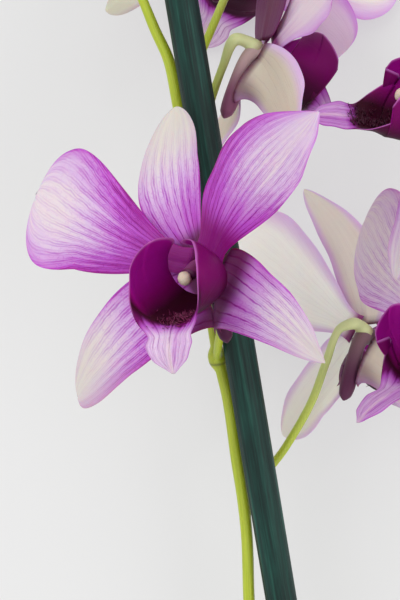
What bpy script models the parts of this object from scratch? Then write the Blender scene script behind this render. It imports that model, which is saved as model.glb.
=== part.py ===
"""A dendrobium orchid stem in flower, lying on a surface with its support stake.

Sizes are in millimetres and degrees, and MM turns them into metres. X runs across
the stem, Y along it from the cut end to the buds, Z up from the surface it lies on.
"""

import math

import bmesh
import bpy
from mathutils import Matrix, Vector

MM = 0.001

# Driving sizes of one open flower
SEPAL_LENGTH = 36.0
SEPAL_WIDTH = 14.0
PETAL_LENGTH = 38.0
PETAL_WIDTH = 26.0
BLADE_THICKNESS = 0.7
CHIN_LENGTH = 18.0
CHIN_ANGLE = 25.0
CHIN_RADIUS = 1.8
COLUMN_LENGTH = 8.2
COLUMN_RADIUS = 2.0
ANTHER_RADIUS = 1.6

# Driving sizes of the stem and the stake
STAKE_RADIUS = 3.7
STAKE_FOOT = Vector((36.3, -172.0, 3.6))
STAKE_TOP = Vector((-9.0, 95.0, 66.0))
STEM_RADIUS = 1.4
STEM_CUT_RADIUS = 1.7
BRANCH_RADIUS = 1.2
PEDICEL_RADIUS = 1.0
OVARY_RADIUS = 1.4
NODE_RADIUS = 2.1
BUD_LENGTH = 21.0
BUD_RADIUS = 4.2
SEAT_GAP = 0.35


def clear_scene():
    for old in list(bpy.data.objects):
        bpy.data.objects.remove(old)


def collection(name):
    made = bpy.data.collections.new(name)
    bpy.context.scene.collection.children.link(made)
    return made


def material(name, colour, roughness):
    made = bpy.data.materials.new(name)
    made.use_nodes = True
    shader = made.node_tree.nodes["Principled BSDF"]
    shader.inputs["Base Color"].default_value = (*colour, 1.0)
    shader.inputs["Roughness"].default_value = roughness
    shader.inputs["Metallic"].default_value = 0.0
    made.diffuse_color = (*colour, 1.0)
    return made


# Sepals and petals

def blade(angle, length, width, base=0.3, start=2.6, depth=-0.6, lean=5.0, curl=8.0, cup=0.1,
          swell=0.6, taper=0.7, sway=0.0, twist=0.0, inner=1.0, outer=1.0, foot=0.0):
    """One sepal or petal.

    angle turns it round the flower, lean and curl bend it forward at its root and
    along its length, cup raises its edges, swell and taper give its outline, sway
    and twist turn it aside, and inner and outer widen its two halves near the root.
    foot, from -1 to 1, draws one side of its root down beside the chin, as on a lateral sepal.
    """
    return dict(angle=angle, length=length, width=width, base=base, start=start, depth=depth,
                lean=lean, curl=curl, cup=cup, swell=swell, taper=taper, sway=sway, twist=twist,
                inner=inner, outer=outer, foot=foot)


def half_width(form, along):
    """Half the blade's width at a share of its length."""
    swell, taper = form["swell"], form["taper"]
    peak = swell / (swell + taper)
    top = peak**swell * (1 - peak) ** taper
    body = along**swell * (1 - along) ** taper / top
    root = form["base"] * (1 - along) ** 3
    return max(form["width"] / 2 * math.hypot(body, root), 0.3)


def heel(side):
    """Where a lateral sepal's root ends, beside the chin's tip."""
    turn = math.radians(CHIN_ANGLE)
    down, back = 0.95 * CHIN_LENGTH * math.cos(turn), 0.91 * CHIN_LENGTH * math.sin(turn)
    return Vector((math.copysign(CHIN_RADIUS + 0.5, side), -down, -back))


def blade_point(form, across, along):
    """A point of the blade's middle surface in the flower's own frame: X right, Y up, Z forward."""
    lean, curl = math.radians(form["lean"]), math.radians(form["curl"])
    end = lean + curl * along
    out = form["length"] * (math.sin(end) - math.sin(lean)) / curl
    forward = form["length"] * (math.cos(lean) - math.cos(end)) / curl
    side = form["inner"] if across > 0 else form["outer"]
    reach = half_width(form, along) * across * (1 + (side - 1) * min(1.0, 3 * (1 - along)))
    rise = form["cup"] * reach * reach / form["width"]
    turn = math.radians(form["twist"]) * along
    beside = reach * math.cos(turn) - rise * math.sin(turn) + form["sway"] * form["length"] * along**2
    above = reach * math.sin(turn) + rise * math.cos(turn)
    radial = form["start"] + out - above * math.sin(end)
    angle = math.radians(form["angle"])
    spot = Vector((
        radial * math.cos(angle) - beside * math.sin(angle),
        radial * math.sin(angle) + beside * math.cos(angle),
        form["depth"] + forward + above * math.cos(end),
    ))
    drawn = max(0.0, across * form["foot"]) * (1 - along) ** 2.2
    return spot.lerp(heel(math.cos(angle)), drawn)


def open_forms(lean=0.0, reflex=0.0, **special):
    """The five blades of an open flower. lean brings them forward, reflex bends their tips back.

    special names blades that have grown another way, each with the sizes that differ.
    """
    sepal = dict(length=SEPAL_LENGTH, width=1.15 * SEPAL_WIDTH, lean=4 + lean, curl=-12 - reflex, cup=0.4,
                 base=0.5, swell=0.5, taper=0.65)
    petal = dict(length=PETAL_LENGTH, width=PETAL_WIDTH, lean=8 + lean, curl=-14 - reflex, cup=-0.1,
                 base=0.15, depth=0.9, swell=1.1, taper=0.36)
    forms = {
        "dorsal_sepal": dict(sepal, angle=90, width=SEPAL_WIDTH, cup=0.1, base=0.2),
        "lateral_sepal_left": dict(sepal, angle=219, sway=0.04, inner=0.65, foot=1),
        "lateral_sepal_right": dict(sepal, angle=321, sway=-0.04, outer=0.65, foot=-1),
        "petal_left": dict(petal, angle=146, sway=-0.06),
        "petal_right": dict(petal, angle=34, sway=0.06),
    }
    return {part: blade(**{**form, **special.get(part, {})}) for part, form in forms.items()}


def front_forms():
    """The blades of the front flower, each bent and turned as it has grown."""
    return {
        "dorsal_sepal": blade(119, 32, 14.5, base=0.1, lean=3, curl=-16, cup=-0.4, swell=0.9, taper=0.62,
                              sway=-0.38, twist=42, inner=1.2, outer=0.85),
        "lateral_sepal_left": blade(212, 42, 20, base=0.4, lean=0, curl=-8, cup=0.4, swell=0.44, taper=0.4,
                                    sway=0.06, twist=26, inner=0.65, foot=1),
        "lateral_sepal_right": blade(325, 34, 16, base=0.5, lean=4, curl=8, cup=0.3, swell=0.25, taper=0.8,
                                     sway=-0.06, outer=0.8, foot=-1),
        "petal_left": blade(164, 41, 31, base=0.1, depth=0.9, lean=13, curl=-20, cup=-0.3, swell=1.2,
                            taper=0.32, sway=-0.2, twist=18, inner=0.65),
        "petal_right": blade(54, 46, 17, base=0.35, depth=0.9, lean=19, curl=8, cup=-0.2, swell=1.12,
                             taper=0.87, sway=-0.32, twist=-26, inner=1.4, outer=1.22),
    }


# The lip: two side lobes roll up round the column from a keel that ends in a pointed middle lobe.
# Each row is a share of the keel's length, then what the name says there.

KEEL_HEIGHT = ((0.0, -5.8), (0.15, -8.1), (0.3, -9.6), (0.45, -10.9), (0.6, -12.8), (0.8, -17.2),
               (1.0, -22.3))
KEEL_FORWARD = ((0.0, -2.3), (0.15, 2.9), (0.3, 7.2), (0.45, 11.6), (0.6, 14.8), (0.8, 16.6), (1.0, 15.2))
LOBE_REACH = ((0.0, 0.4), (0.085, 14.5), (0.16, 18.0), (0.24, 20.2), (0.32, 20.6), (0.4, 19.6), (0.48, 15.8),
              (0.54, 12.4), (0.6, 8.4), (0.68, 5.4), (0.77, 5.6), (0.88, 4.2), (0.95, 2.0), (1.0, 0.4))
LOBE_ROLL = ((0.0, 5.5), (0.085, 6.8), (0.3, 8.7), (0.42, 9.0), (0.54, 8.4), (0.62, 11.0), (0.8, 30.0),
             (1.0, 20.0))


def smooth(table, at, column=1):
    """Reads rows of (place, value, ...) with a smooth cubic that passes through each of them."""
    places = [row[0] for row in table]
    values = [row[column] for row in table]
    at = min(max(at, places[0]), places[-1])
    i = max(k for k in range(len(places) - 1) if places[k] <= at)
    slopes = []
    for k in (i, i + 1):
        low, high = max(k - 1, 0), min(k + 1, len(places) - 1)
        slopes.append((values[high] - values[low]) / (places[high] - places[low]))
    span = places[i + 1] - places[i]
    x = (at - places[i]) / span
    return ((2 * x**3 - 3 * x**2 + 1) * values[i] + (x**3 - 2 * x**2 + x) * span * slopes[0]
            + (3 * x**2 - 2 * x**3) * values[i + 1] + (x**3 - x**2) * span * slopes[1])


def lip_form(reach=0.7, thrust=8.0, lift=0.0, aside=0.0):
    """How a lip has grown: reach scales how far forward it stands, thrust pushes its middle lobe on.

    lift raises the middle lobe's tip, and aside moves it sideways.
    """
    return dict(reach=reach, thrust=thrust, lift=lift, aside=aside)


def keel(form, along):
    """A point of the lip's keel."""
    root = KEEL_FORWARD[0][1]
    beyond = max(0.0, 2 * along - 1)
    return Vector((
        form["aside"] * along,
        smooth(KEEL_HEIGHT, along) + form["lift"] * beyond,
        root + (smooth(KEEL_FORWARD, along) - root) * form["reach"] + form["thrust"] * beyond,
    ))


def lip_point(form, across, along):
    """A point of the lip's middle surface in the flower's own frame."""
    step = 0.01
    tangent = keel(form, along + step) - keel(form, along - step)
    upward = Vector((0.0, tangent.z, -tangent.y)).normalized()
    roll = smooth(LOBE_ROLL, along) * (1 - 0.05 * across)
    turn = max(smooth(LOBE_REACH, along), 0.35) * across / roll
    aside, above = roll * math.sin(turn), roll * (1 - math.cos(turn))
    return keel(form, along) + Vector((aside, 0.0, 0.0)) + upward * above


# Making solids

def link(name, data, group, colour, frame=None):
    made = bpy.data.objects.new(name, data)
    group.objects.link(made)
    made.data.materials.append(colour)
    made.matrix_world = frame or Matrix.Identity(4)
    return made


def surface(name, point, rows, columns, frame, group, colour, crowd_tip=True):
    """A thin solid: a grid laid out by a formula and given its thickness."""
    bm = bmesh.new()
    bmesh.ops.create_grid(bm, x_segments=columns, y_segments=rows, size=0.5)
    for vertex in bm.verts:
        along = vertex.co.y + 0.5
        if crowd_tip:
            along = math.sin(math.pi / 2 * along)
        vertex.co = point(2 * vertex.co.x, along) * MM
    bmesh.ops.triangulate(bm, faces=bm.faces)
    mesh = bpy.data.meshes.new(name)
    bm.to_mesh(mesh)
    bm.free()
    mesh.shade_smooth()
    made = link(name, mesh, group, colour, frame)
    thick = made.modifiers.new("Thickness", "SOLIDIFY")
    thick.thickness = BLADE_THICKNESS * MM
    thick.offset = 0.0
    return made


def tube(name, points, radii, group, colour, sides=2, closer=3, frame=None):
    """A round rod along a smooth line, with its own radius at each point and closed ends."""
    data = bpy.data.curves.new(name, "CURVE")
    data.dimensions = "3D"
    data.bevel_depth = MM
    data.bevel_resolution = sides
    data.use_fill_caps = True
    places = [0.0]
    for a, b in zip(points, points[1:]):
        places.append(places[-1] + (Vector(b) - Vector(a)).length)
    rows = [(place, *point, radius) for place, point, radius in zip(places, points, radii)]
    spline = data.splines.new("POLY")
    spline.points.add((len(points) - 1) * closer)
    for i, spot in enumerate(spline.points):
        whole, part = divmod(i, closer)
        at = places[whole]
        if part:
            at += (places[whole + 1] - places[whole]) * part / closer
        spot.co = (*[smooth(rows, at, column) * MM for column in (1, 2, 3)], 1.0)
        spot.radius = smooth(rows, at, 4)
    return link(name, data, group, colour, frame)


def as_mesh(curve):
    """The curve's solid as a welded mesh object in its place."""
    bpy.context.view_layer.update()
    graph = bpy.context.evaluated_depsgraph_get()
    mesh = bpy.data.meshes.new_from_object(curve.evaluated_get(graph))
    bm = bmesh.new()
    bm.from_mesh(mesh)
    bmesh.ops.remove_doubles(bm, verts=bm.verts, dist=0.00001)
    bm.to_mesh(mesh)
    bm.free()
    name, place, group = curve.name, curve.matrix_world.copy(), curve.users_collection[0]
    bpy.data.objects.remove(curve)
    made = bpy.data.objects.new(name, mesh)
    group.objects.link(made)
    made.matrix_world = place
    return made


def joined(name, pieces, group, colour):
    """One body from overlapping pieces, by a Boolean union on the collection that holds the rest."""
    rest = collection(f"{name}_pieces")
    first, others = pieces[0], pieces[1:]
    for piece in others:
        for holder in list(piece.users_collection):
            holder.objects.unlink(piece)
        rest.objects.link(piece)
    union = first.modifiers.new("Union", "BOOLEAN")
    union.operation = "UNION"
    union.operand_type = "COLLECTION"
    union.collection = rest
    union.solver = "EXACT"
    bpy.context.view_layer.update()
    graph = bpy.context.evaluated_depsgraph_get()
    mesh = bpy.data.meshes.new_from_object(first.evaluated_get(graph))
    place = first.matrix_world.copy()
    for piece in pieces:
        bpy.data.objects.remove(piece)
    bpy.data.collections.remove(rest)
    mesh.materials.clear()
    mesh.name = name
    mesh.shade_smooth()
    return link(name, mesh, group, colour, place)


# Flowers

def facing(yaw, pitch):
    """A direction: straight up from the surface, turned to the left by yaw and to the buds by pitch."""
    yaw, pitch = math.radians(yaw), math.radians(pitch)
    return Vector((-math.sin(yaw) * math.cos(pitch), math.sin(pitch), math.cos(yaw) * math.cos(pitch)))


def flower_frame(hub, forward, roll):
    """Where a flower stands: its face looks along forward, and roll turns its top to the left."""
    right = Vector((0.0, 1.0, 0.0)).cross(forward).normalized()
    top = forward.cross(right)
    turned = Matrix((right, top, forward)).transposed().to_4x4() @ Matrix.Rotation(math.radians(roll), 4, "Z")
    return Matrix.Translation(Vector(hub) * MM) @ turned


def column_line():
    """The column's line from the chin's tip, behind the flower's centre, to the column's own tip."""
    down = -math.cos(math.radians(CHIN_ANGLE))
    back = -math.sin(math.radians(CHIN_ANGLE))
    chin = [(0.0, CHIN_LENGTH * share * down, CHIN_LENGTH * share * back - dip)
            for share, dip in ((1.0, 0.0), (0.8, 0.6), (0.45, 2.0), (0.18, 2.9))]
    rise = [(0.0, -0.7, -2.6), (0.0, 0.0, 0.0), (0.0, -0.2, 0.45 * COLUMN_LENGTH),
            (0.0, -1.8, COLUMN_LENGTH)]
    return chin + rise


def flower(name, hub, forward, roll, forms, lip, group, colours, rows=8, columns=4):
    """An open flower: five blades, the lip, the column with its chin, and the column's anther cap."""
    frame = flower_frame(hub, forward, roll)
    for part, form in forms.items():
        kind = colours["petal" if "petal" in part else "sepal"]
        surface(f"{name}_{part}", lambda s, t, f=form: blade_point(f, s, t), rows, columns, frame, group, kind)
    surface(f"{name}_lip", lambda s, t: lip_point(lip, s, t), rows + 3, 2 * columns, frame, group,
            colours["lip"], crowd_tip=False)
    chin_radii = [0.65 * CHIN_RADIUS, CHIN_RADIUS, CHIN_RADIUS, 0.92 * CHIN_RADIUS]
    column_radii = [COLUMN_RADIUS, COLUMN_RADIUS, COLUMN_RADIUS, 0.8 * COLUMN_RADIUS]
    line = column_line()
    radii = chin_radii + column_radii
    tube(f"{name}_column", line, radii, group, colours["column"], closer=1, frame=frame)
    anther_cap(f"{name}_anther_cap", line, frame, group, colours["anther"])
    return frame


def anther_cap(name, line, frame, group, colour):
    """The pale cap on the column's tip, a little flatter than a ball."""
    onward = (Vector(line[-1]) - Vector(line[-2])).normalized()
    flat = 0.8
    centre = Vector(line[-1]) + onward * (SEAT_GAP + flat * ANTHER_RADIUS)
    bm = bmesh.new()
    bmesh.ops.create_uvsphere(bm, u_segments=8, v_segments=6, radius=ANTHER_RADIUS * MM)
    mesh = bpy.data.meshes.new(name)
    bm.to_mesh(mesh)
    bm.free()
    mesh.shade_smooth()
    turned = onward.to_track_quat("Z", "Y").to_matrix().to_4x4() @ Matrix.Diagonal((1.0, 1.0, flat, 1.0))
    link(name, mesh, group, colour, frame @ Matrix.Translation(centre * MM) @ turned)


# A bud's line from its short chin to its tip, and its thickness there, as shares of its length and radius
BUD_LINE = ((0.0, -0.1, -0.26), (0.0, -0.076, -0.14), (0.0, 0.0, 0.05), (0.0, 0.02, 0.29), (0.0, 0.01, 0.52),
            (0.0, 0.0, 0.74))
BUD_SWELL = (0.24, 0.5, 0.84, 1.0, 0.72, 0.12)


def bud(name, hub, forward, roll, size, group, colour):
    """An unopened flower bud. Returns its frame, scaled to the bud's size."""
    frame = flower_frame(hub, Vector(forward).normalized(), roll)
    line = [Vector(spot) * BUD_LENGTH * size for spot in BUD_LINE]
    tube(name, line, [BUD_RADIUS * size * share for share in BUD_SWELL], group, colour, closer=2, frame=frame)
    return frame @ Matrix.Scale(size, 4)


# Stalks

def pedicel(name, route, frame, ends, thickness, group, colour):
    """A flower's or bud's own stalk, which ends just behind it."""
    places = [tuple(frame @ (Vector(spot) * MM) / MM) for spot in ends]
    radii = [PEDICEL_RADIUS] * len(route) + [thickness] * len(ends)
    return as_mesh(tube(name, [*route, *places], radii, group, colour))


def collar(name, centre, along, size, group, colour):
    """The swelling of the stem where a flower's stalk leaves it."""
    along = Vector(along).normalized()
    radius = NODE_RADIUS * size
    spots = [Vector(centre) + along * radius * share for share in (-1.5, -0.5, 0.5, 1.5)]
    radii = (0.5 * radius, radius, radius, 0.5 * radius)
    return as_mesh(tube(name, spots, radii, group, colour, closer=1))


def settle(group):
    """Moves the finished object so that the middle of its underside is the origin."""
    bpy.context.view_layer.update()
    graph = bpy.context.evaluated_depsgraph_get()
    low, high = Vector((1e9,) * 3), Vector((-1e9,) * 3)
    for piece in group.objects:
        shown = piece.evaluated_get(graph)
        for vertex in shown.to_mesh().vertices:
            spot = piece.matrix_world @ vertex.co
            low = Vector(map(min, low, spot))
            high = Vector(map(max, high, spot))
        shown.to_mesh_clear()
    shift = Matrix.Translation((-(low.x + high.x) / 2, -(low.y + high.y) / 2, -low.z))
    for piece in group.objects:
        piece.matrix_world = shift @ piece.matrix_world


# Points by hand along the main stem and along the side branch that forks from it
RACHIS = ((22, -171, 1.8), (17.5, -133, 9.5), (13, -95, 18.5), (11.5, -70, 24.3), (11, -56, 27.5),
          (10, -46.5, 29.7), (8.5, -37, 31.9), (6.5, -23, 35.2), (4.2, -13, 37.0), (2.5, -2.5, 39.5),
          (0.1, 13.5, 43.2), (-2.6, 30.5, 47.2), (-5.3, 46, 51), (-7, 53.5, 53), (-10, 60, 54.5),
          (-12.5, 66, 56), (-16.5, 75, 58), (-22, 86, 60.5), (-24, 92, 61))
BRANCH = ((14.2, -104.5, 16.3), (23.5, -93, 30.5), (42, -78.5, 37), (58, -59.5, 43), (67, -34, 48),
          (72, 0, 52), (75, 33.5, 55), (77, 60, 56), (78, 76, 56))
# Where the side branch and two of the flowers' stalks leave the main stem, its direction there, and how
# swollen it is
NODES = (((4, -13.2, 36.8), (-1.6, 10, 2.4), 1.0), ((10.6, -50.5, 28.2), (-1, 10, 2.1), 0.8),
         ((15, -103.5, 17), (-0.6, 10, 2.4), 1.0))
# The last points of a flower's and of a bud's stalk, in the frame of what it carries
OVARY_END = ((0.0, 1.6, -7.6), (0.0, 2.5, -4.35))
BUD_END = ((0.0, 3.4, -7.0), (0.0, 2.7, -3.3))


def flowers(group, colours):
    """The six open flowers, each where and as it has grown. Returns their frames."""
    front = flower("flower_front", (1.1, 6.9, 70), facing(28, 0), 5, front_forms(),
                   lip_form(reach=1.0, thrust=0.0, aside=-1.4), group, colours, rows=9, columns=6)
    upper_forms = open_forms(0, dorsal_sepal=dict(width=18, swell=0.4, base=0.25),
                             petal_right=dict(angle=50, length=25, width=20, lean=20))
    upper = flower("flower_upper", (14.5, 56, 44), facing(-111, -8), 0, upper_forms,
                   lip_form(reach=0.82, thrust=11.0, lift=10.0), group, colours)
    top_forms = open_forms(20, petal_right=dict(lean=24),
                           lateral_sepal_left=dict(angle=190, length=30, width=20, depth=-1.4, lean=4,
                                                   base=0.2, taper=0.4, inner=0.4, foot=0),
                           lateral_sepal_right=dict(angle=315, length=34, depth=-1.4, lean=4, base=0.2,
                                                    sway=-0.24, outer=0.4, foot=0))
    top = flower("flower_top", (12, 82, 17.5), facing(177, -8), 35, top_forms, lip_form(), group, colours)
    middle_forms = open_forms(4, dorsal_sepal=dict(angle=81, length=35, lean=4, curl=-40, sway=-0.3),
                              petal_right=dict(angle=28, depth=-2.0, lean=-4, curl=-24),
                              lateral_sepal_right=dict(angle=312, length=30, width=20, sway=0.0,
                                                       outer=0.5))
    middle = flower("flower_middle", (39.5, -8.5, 28), facing(-142, -11), 0, middle_forms, lip_form(lift=8.0),
                    group, colours)
    side_low = flower("flower_side_low", (53.5, -6, 66), facing(52, 0), 0,
                      open_forms(-10, lateral_sepal_left=dict(lean=-20, length=24)),
                      lip_form(reach=0.58, thrust=18.0, lift=2.5), group, colours)
    high_forms = open_forms(-10, lateral_sepal_left=dict(lean=-30, length=24))
    side_high = flower("flower_side_high", (52, 40.5, 66), facing(60, 32), -45, high_forms,
                       lip_form(reach=0.58, thrust=13.0, lift=2.5), group, colours)
    return front, upper, top, middle, side_low, side_high


def buds(group, colour):
    """The buds at the ends of the main stem and the side branch, each with its stalk's points."""
    return (
        (bud("bud_rachis_left", (-34, 82, 58), (-0.9, 0.2, -0.3), 0, 0.95, group, colour),
         ((-16.5, 75, 58), (-21, 79, 59))),
        (bud("bud_rachis_right", (-22, 99, 69), (0.2, 0.7, 0.7), 0, 0.85, group, colour),
         ((-21.5, 85, 60.3), (-22, 88.5, 62.5))),
        (bud("bud_rachis_tip", (-30, 101, 60), (-0.6, 0.8, -0.1), 0, 0.7, group, colour),
         ((-23.5, 90.5, 61), (-25, 94, 61))),
        (bud("bud_branch_side", (88, 70, 53), (0.85, 0.5, -0.2), 0, 0.9, group, colour),
         ((76.8, 58, 56), (79, 63, 56))),
        (bud("bud_branch_tip", (80, 86, 57), (0.2, 0.95, 0.2), 0, 0.7, group, colour),
         ((77.8, 74, 56), (78.5, 78, 56))),
    )


def stalk_routes(frames):
    """The points of each open flower's stalk from the stem to close behind the flower."""
    front, upper, top, middle, side_low, side_high = frames
    return (
        (front, ((4.2, -13.5, 37), (4, -11.5, 41.5), (4.6, -6.5, 48.5), (5, 1, 55), (4.8, 7, 61))),
        (middle, ((10.6, -50.5, 28.8), (14.5, -42, 27), (20, -34.5, 26.5), (26, -24, 27), (29.5, -14, 30),
                  (32, -7, 33))),
        (upper, ((-2.2, 30.3, 47), (-0.8, 35, 45.5), (1.2, 41, 43.5), (3, 47, 42.5), (5.2, 53, 43.3))),
        (top, ((-4.9, 45.7, 51.1), (-2, 51, 46.5), (1.5, 59, 42), (6, 70, 37), (10.5, 80, 30))),
        (side_low, ((67.4, -32, 48.3), (68.5, -20, 51), (66, -8, 58))),
        (side_high, ((74.3, 25, 54.5), (73, 28, 57), (69, 33, 61))),
    )


def stem(open_frames, buds_made, group, colour):
    """The main stem, the side branch, every stalk and the swellings they leave from, as one body."""
    radii = [STEM_CUT_RADIUS] + [STEM_RADIUS] * 11 + [STEM_RADIUS * (1 - 0.07 * i) for i in range(7)]
    pieces = [as_mesh(tube("rachis", RACHIS, radii, group, colour))]
    pieces.append(as_mesh(tube("branch", BRANCH, [BRANCH_RADIUS] * len(BRANCH), group, colour)))
    for i, (frame, route) in enumerate(stalk_routes(open_frames)):
        pieces.append(pedicel(f"pedicel_{i}", route, frame, OVARY_END, OVARY_RADIUS, group, colour))
    for i, (frame, route) in enumerate(buds_made):
        pieces.append(pedicel(f"bud_stalk_{i}", route, frame, BUD_END, PEDICEL_RADIUS, group, colour))
    for i, (centre, along, size) in enumerate(NODES):
        pieces.append(collar(f"node_{i}", centre, along, size, group, colour))
    joined("stem", pieces, group, colour)


def main():
    clear_scene()
    parts = collection("dendrobium_stem")
    colours = {
        "petal": material("petal", (0.62, 0.32, 0.66), 0.45),
        "sepal": material("sepal", (0.72, 0.55, 0.72), 0.45),
        "lip": material("lip", (0.28, 0.01, 0.22), 0.4),
        "column": material("column", (0.45, 0.15, 0.35), 0.45),
        "anther": material("anther", (0.7, 0.62, 0.45), 0.5),
        "stem": material("stem", (0.42, 0.52, 0.08), 0.45),
        "bud": material("bud", (0.55, 0.5, 0.3), 0.45),
        "stake": material("stake", (0.03, 0.09, 0.07), 0.4),
    }
    ends, radii = (STAKE_FOOT, STAKE_TOP), (STAKE_RADIUS, STAKE_RADIUS)
    tube("stake", ends, radii, parts, colours["stake"], sides=4, closer=1)
    stem(flowers(parts, colours), buds(parts, colours["bud"]), parts, colours["stem"])
    settle(parts)


main()
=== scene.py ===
# %% [markdown]
# # A dendrobium orchid stem, dressed for its photograph
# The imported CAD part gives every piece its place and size. This lesson puts a finer piece over
# each solid: blades with rounded, waving margins, lips with hairs and keels, a stem whose stalks
# grow out of it smoothly, and a streaked stake. The finishes are all built from nodes.

# %% Load the frame
import random
from math import atan2, copysign, cos, exp, hypot, pi, radians, sin, sqrt

import bpy
from mathutils import Matrix, Vector, kdtree, noise


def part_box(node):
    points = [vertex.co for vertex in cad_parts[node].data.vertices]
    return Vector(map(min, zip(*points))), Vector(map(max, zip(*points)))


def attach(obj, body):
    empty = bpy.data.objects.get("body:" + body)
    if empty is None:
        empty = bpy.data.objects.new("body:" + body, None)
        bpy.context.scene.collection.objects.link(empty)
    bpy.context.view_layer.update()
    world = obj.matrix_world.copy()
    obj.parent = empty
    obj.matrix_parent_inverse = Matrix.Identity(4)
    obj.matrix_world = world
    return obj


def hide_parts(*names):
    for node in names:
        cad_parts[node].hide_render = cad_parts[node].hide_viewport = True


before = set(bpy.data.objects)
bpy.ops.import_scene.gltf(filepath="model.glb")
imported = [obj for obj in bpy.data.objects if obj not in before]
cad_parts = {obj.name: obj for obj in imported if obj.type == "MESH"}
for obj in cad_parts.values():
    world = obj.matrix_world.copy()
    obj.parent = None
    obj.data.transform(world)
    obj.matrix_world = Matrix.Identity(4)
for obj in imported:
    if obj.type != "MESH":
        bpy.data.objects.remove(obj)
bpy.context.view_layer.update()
MM = 0.001
print("CAD nodes:", len(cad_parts))

# %% [markdown]
# The part was drawn around the front flower, then moved so that the middle of its underside is
# the origin. The stake is a plain rod, so the middle of its box is the middle of its line, and
# that gives the move back.

# %% Find the drawing's origin
STAKE_RADIUS = 3.7
STAKE_FOOT = Vector((36.3, -172.0, 3.6))
STAKE_TOP = Vector((-9.0, 95.0, 66.0))
stake_low, stake_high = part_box("stake")
ORIGIN = (stake_low + stake_high) / 2 / MM - (STAKE_FOOT + STAKE_TOP) / 2
print("drawing origin in mm:", [round(x, 2) for x in ORIGIN])

# %% [markdown]
# ## Colours
# A colour is easiest to name as it looks on a screen. Shaders work in linear light, so each one is
# turned once, here.

# %% Name the colours


def paint(red, green, blue):
    """A colour as seen on a screen, from 0 to 255, in the shader's linear light."""
    def linear(value):
        value /= 255
        return value / 12.92 if value <= 0.04045 else ((value + 0.055) / 1.055) ** 2.4
    return (linear(red), linear(green), linear(blue), 1.0)


WHITE_PETAL = paint(219, 207, 213)
LILAC = paint(209, 181, 217)
PINK_LILAC = paint(198, 146, 210)
MAGENTA = paint(182, 78, 196)
STRONG_MAGENTA = paint(150, 16, 146)
DEEP_MAGENTA = paint(132, 0, 112)
DEEP_PURPLE = paint(84, 0, 56)
THROAT = paint(50, 0, 24)
CREAM = paint(198, 201, 178)
LIME = paint(188, 202, 60)
PALE_LIME = paint(216, 220, 174)
print("white petal in linear light:", [round(x, 3) for x in WHITE_PETAL])

# %% [markdown]
# ## The shapes, from the same formulas as the solids
# A blade is a sheet whose every point has two numbers: how far along its length it lies, and how
# far across. Bending, cupping and twisting are done with them, so one formula draws sepals and
# petals at any fineness. A lateral sepal's foot is drawn down beside the chin and sheathes it.

# %% Draw a blade

BLADE = dict(base=0.3, start=2.6, depth=-0.6, lean=5.0, curl=8.0, cup=0.1, swell=0.6, taper=0.7,
             sway=0.0, twist=0.0, inner=1.0, outer=1.0, foot=0.0, wrap=0.0)
LEAST_HALF_WIDTH = 0.3
CHIN_LENGTH, CHIN_ANGLE, CHIN_RADIUS = 18.0, radians(25.0), 1.8
SHEATH_BACK, SHEATH_BULGE = 8.0, 1.1


def blade(angle, length, width, **more):
    """One sepal or petal: its place round the flower, its size, and how it bends."""
    return {**BLADE, "angle": angle, "length": length, "width": width, **more}


def half_width(form, along):
    """Half the blade's width at a share of its length."""
    swell, taper = form["swell"], form["taper"]
    peak = swell / (swell + taper)
    top = peak**swell * (1 - peak) ** taper
    body = along**swell * (1 - along) ** taper / top
    root = form["base"] * (1 - along) ** 3
    return max(form["width"] / 2 * hypot(body, root), LEAST_HALF_WIDTH)


def heel(side, wrap):
    """Where a lateral sepal's root ends: beside the chin's end, or in front of it by wrap."""
    down = (0.8 + 0.1 * wrap) * CHIN_LENGTH * cos(CHIN_ANGLE)
    back = (0.67 + 0.21 * wrap) * CHIN_LENGTH * sin(CHIN_ANGLE)
    beside = copysign(1.0, side) * (2.5 - 3.4 * wrap)
    return Vector((beside, -down, -back + 2.4 * wrap))


def blade_point(form, across, along):
    """A point of the blade's middle surface in its flower's frame: X right, Y up, Z forward."""
    lean, curl = radians(form["lean"]), radians(form["curl"])
    end = lean + curl * along
    out = form["length"] * (sin(end) - sin(lean)) / curl
    forward = form["length"] * (cos(lean) - cos(end)) / curl
    side = form["inner"] if across > 0 else form["outer"]
    reach = half_width(form, along) * across * (1 + (side - 1) * min(1.0, 3 * (1 - along)))
    cupped = form["cup"] * reach * reach / form["width"]
    turn = radians(form["twist"]) * along
    beside = reach * cos(turn) - cupped * sin(turn) + form["sway"] * form["length"] * along**2
    above = reach * sin(turn) + cupped * cos(turn)
    radial = form["start"] + out - above * sin(end)
    angle = radians(form["angle"])
    spot = Vector((
        radial * cos(angle) - beside * sin(angle),
        radial * sin(angle) + beside * cos(angle),
        form["depth"] + forward + above * cos(end),
    ))
    root = max(0.0, across * form["foot"])
    spot = spot.lerp(heel(cos(angle), form["wrap"]), root * (1 - along) ** 2.2)
    hold = abs(form["foot"]) * (1 - form["wrap"]) * (1 - along) ** 7
    back = 1.6 + SHEATH_BACK * root * (1 - root)
    bulge = 4 * SHEATH_BULGE * root * (1 - root) - 0.5 * root
    return spot + Vector((copysign(bulge, cos(angle)), 0.0, -back)) * hold


# %% Give a flower its five blades


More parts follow.
